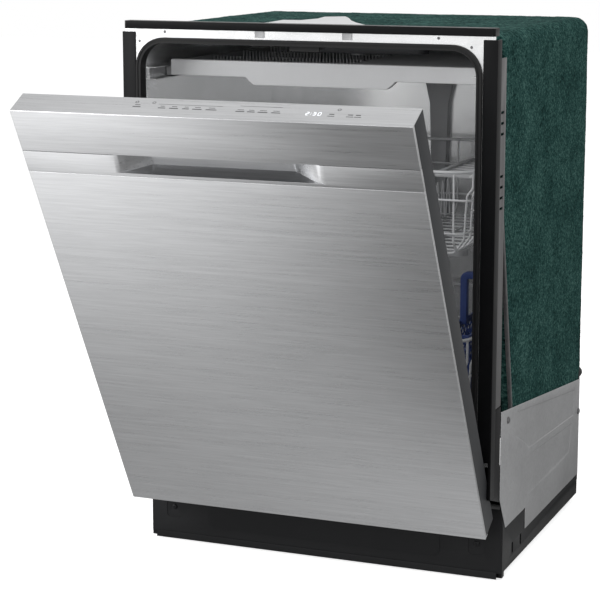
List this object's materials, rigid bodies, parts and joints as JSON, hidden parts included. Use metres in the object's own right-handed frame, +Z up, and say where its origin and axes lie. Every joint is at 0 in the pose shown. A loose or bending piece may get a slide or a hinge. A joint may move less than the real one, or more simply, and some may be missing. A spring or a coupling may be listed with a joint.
{
  "type": "dishwasher",
  "caption": "Built-in dishwasher with a brushed steel door ajar on bottom hinges, felt-wrapped steel tub, sliding racks, spray arms, cutlery basket and black base.",
  "frame": {"origin": "on the room floor, at mid width, under the front plane of the tub flange", "axes": "+X to the right as the user stands before it, +Y from the front to the back, +Z up"},
  "size_m": [0.608, 0.9499, 0.86],
  "materials": {
    "tub_steel": "bright satin stainless sheet",
    "door_steel": "stainless with a fine horizontal grain",
    "door_side": "dark grey coated sheet",
    "black_plastic": "black moulding with a fine grain",
    "gasket_rubber": "soft black extrusion",
    "green_felt": "mottled dark green felt",
    "zinc_steel": "galvanised sheet, slightly mottled",
    "black_steel": "black painted sheet",
    "spring_steel": "bright spring wire",
    "rack_wire": "grey coated wire",
    "grey_plastic": "light grey moulding",
    "dark_plastic": "dark grey moulding",
    "navy_plastic": "navy blue moulding",
    "filter_steel": "perforated stainless sheet",
    "white_plastic": "white moulding"
  },
  "bodies": {
    "cabinet": {"tub": "tub_steel", "door_gasket": "gasket_rubber", "insulation_blanket": "green_felt", "top_trim": "black_plastic", "side_trims": "black_plastic", "side_posts": "zinc_steel", "base_pan": "black_plastic", "toe_kick": "black_plastic", "cabinet_screws": "spring_steel", "counter_bracket": "zinc_steel", "hinge_brackets": "black_steel", "door_springs": "spring_steel", "rack_rails": "tub_steel", "lower_spray_hub": "grey_plastic", "water_conduit": "grey_plastic", "sump": "dark_plastic", "filter_plate": "filter_steel", "circulation_pump": "dark_plastic", "drain_pump": "dark_plastic", "drain_pipe": "grey_plastic", "drain_outlet": "black_plastic", "inlet_valve": "white_plastic", "junction_box": "zinc_steel", "side_panel_left": "zinc_steel", "side_panel_right": "zinc_steel"},
    "leg_front_left_body": {"leg_front_left": "zinc_steel"},
    "leg_front_right_body": {"leg_front_right": "zinc_steel"},
    "leg_rear_left_body": {"leg_rear_left": "zinc_steel"},
    "leg_rear_right_body": {"leg_rear_right": "zinc_steel"},
    "fine_filter_body": {"fine_filter": "dark_plastic"},
    "float_body": {"overflow_float": "white_plastic"},
    "lower_arm_body": {"lower_spray_arm": "grey_plastic"},
    "top_arm_body": {"top_spray_arm": "grey_plastic"},
    "upper_arm_body": {"upper_spray_arm": "grey_plastic"},
    "third_rack": {"third_rack_front": "grey_plastic", "third_rack_tray": "dark_plastic"},
    "upper_rack": {"upper_rack_basket": "rack_wire", "upper_rack_runners": "tub_steel", "upper_feed_pipe": "grey_plastic"},
    "cup_shelf_body": {"cup_shelf": "grey_plastic"},
    "lower_rack": {"lower_rack_basket": "rack_wire", "wheel_hangers": "grey_plastic"},
    "front_wheels_body": {"front_wheels": "grey_plastic"},
    "rear_wheels_body": {"rear_wheels": "grey_plastic"},
    "folding_tines_body": {"folding_tines": "rack_wire"},
    "basket_body": {"silverware_basket": "navy_plastic", "basket_handle": "navy_plastic"},
    "door": {"door_panel": "door_steel", "handle_strip": "door_steel", "control_panel": "door_steel", "door_side_caps": "door_side", "door_liner": "tub_steel", "door_pad": "green_felt", "door_bottom_seal": "gasket_rubber", "hinge_arms": "zinc_steel", "detergent_dispenser": "grey_plastic", "latch_case": "black_plastic"},
    "lid_body": {"dispenser_lid": "dark_plastic"},
    "rinse_cap_body": {"rinse_aid_cap": "dark_plastic"},
    "latch_hook_body": {"latch_hook": "spring_steel"}
  },
  "joints": [
    {"name": "door_hinge", "type": "hinge", "parent": "cabinet", "child": "door", "pos_m": [0, -0.02, 0.185], "axis": [1, 0, 0], "range_deg": [-28.6, 61.4]},
    {"name": "third_rack_slide", "type": "slide", "parent": "cabinet", "child": "third_rack", "axis": [0, -1, 0], "range_m": [0, 0.36]},
    {"name": "upper_rack_slide", "type": "slide", "parent": "cabinet", "child": "upper_rack", "axis": [0, -1, 0], "range_m": [0, 0.18]},
    {"name": "lower_rack_slide", "type": "slide", "parent": "cabinet", "child": "lower_rack", "axis": [0, -1, 0], "range_m": [0, 0.04]},
    {"name": "front_wheels_roll", "type": "hinge", "parent": "lower_rack", "child": "front_wheels_body", "pos_m": [0, 0.09, 0.2243], "axis": [1, 0, 0], "range_deg": [0, 140]},
    {"name": "rear_wheels_roll", "type": "hinge", "parent": "lower_rack", "child": "rear_wheels_body", "pos_m": [0, 0.44, 0.2243], "axis": [1, 0, 0], "range_deg": [0, 140]},
    {"name": "lower_arm_spin", "type": "hinge", "parent": "cabinet", "child": "lower_arm_body", "pos_m": [0, 0.235, 0.2183], "axis": [0, 0, 1], "continuous": true},
    {"name": "top_arm_spin", "type": "hinge", "parent": "cabinet", "child": "top_arm_body", "pos_m": [0, 0.235, 0.809], "axis": [0, 0, 1], "continuous": true},
    {"name": "upper_arm_spin", "type": "hinge", "parent": "upper_rack", "child": "upper_arm_body", "pos_m": [0, 0.235, 0.488], "axis": [0, 0, 1], "continuous": true},
    {"name": "cup_shelf_fold", "type": "hinge", "parent": "upper_rack", "child": "cup_shelf_body", "pos_m": [0.238, 0.197, 0.63], "axis": [0, 1, 0], "range_deg": [0, 85]},
    {"name": "folding_tines_tilt", "type": "hinge", "parent": "lower_rack", "child": "folding_tines_body", "pos_m": [-0.0555, 0.265, 0.2444], "axis": [0, 1, 0], "range_deg": [0, 80]},
    {"name": "basket_lift", "type": "slide", "parent": "lower_rack", "child": "basket_body", "axis": [0, 0, 1], "range_m": [0, 0.02]},
    {"name": "fine_filter_turn", "type": "hinge", "parent": "cabinet", "child": "fine_filter_body", "pos_m": [0, 0.3, 0.17], "axis": [0, 0, 1], "range_deg": [0, 90]},
    {"name": "float_rise", "type": "slide", "parent": "cabinet", "child": "float_body", "axis": [0, 0, 1], "range_m": [0, 0.008]},
    {"name": "leg_front_left_screw", "type": "slide", "parent": "cabinet", "child": "leg_front_left_body", "axis": [0, 0, -1], "range_m": [0, 0.02]},
    {"name": "leg_front_right_screw", "type": "slide", "parent": "cabinet", "child": "leg_front_right_body", "axis": [0, 0, -1], "range_m": [0, 0.02]},
    {"name": "leg_rear_left_screw", "type": "slide", "parent": "cabinet", "child": "leg_rear_left_body", "axis": [0, 0, -1], "range_m": [0, 0.02]},
    {"name": "leg_rear_right_screw", "type": "slide", "parent": "cabinet", "child": "leg_rear_right_body", "axis": [0, 0, -1], "range_m": [0, 0.02]},
    {"name": "dispenser_lid_flip", "type": "hinge", "parent": "door", "child": "lid_body", "pos_m": [0.04, -0.17686, 0.52659], "axis": [1, 0, 0], "range_deg": [0, 95]},
    {"name": "rinse_cap_turn", "type": "hinge", "parent": "door", "child": "rinse_cap_body", "pos_m": [0.085, -0.15364, 0.47775], "axis": [0, 0.878, 0.4787], "range_deg": [0, 90]},
    {"name": "latch_hook_catch", "type": "hinge", "parent": "door", "child": "latch_hook_body", "pos_m": [0, -0.3201, 0.73438], "axis": [1, 0, 0], "range_deg": [0, 6], "stiffness_Nm_per_rad": 0.1}
  ],
  "couplings": [
    {"joint": "front_wheels_roll", "follows": "lower_rack_slide", "rad_per_m": 58.824},
    {"joint": "rear_wheels_roll", "follows": "lower_rack_slide", "rad_per_m": 58.824}
  ]
}
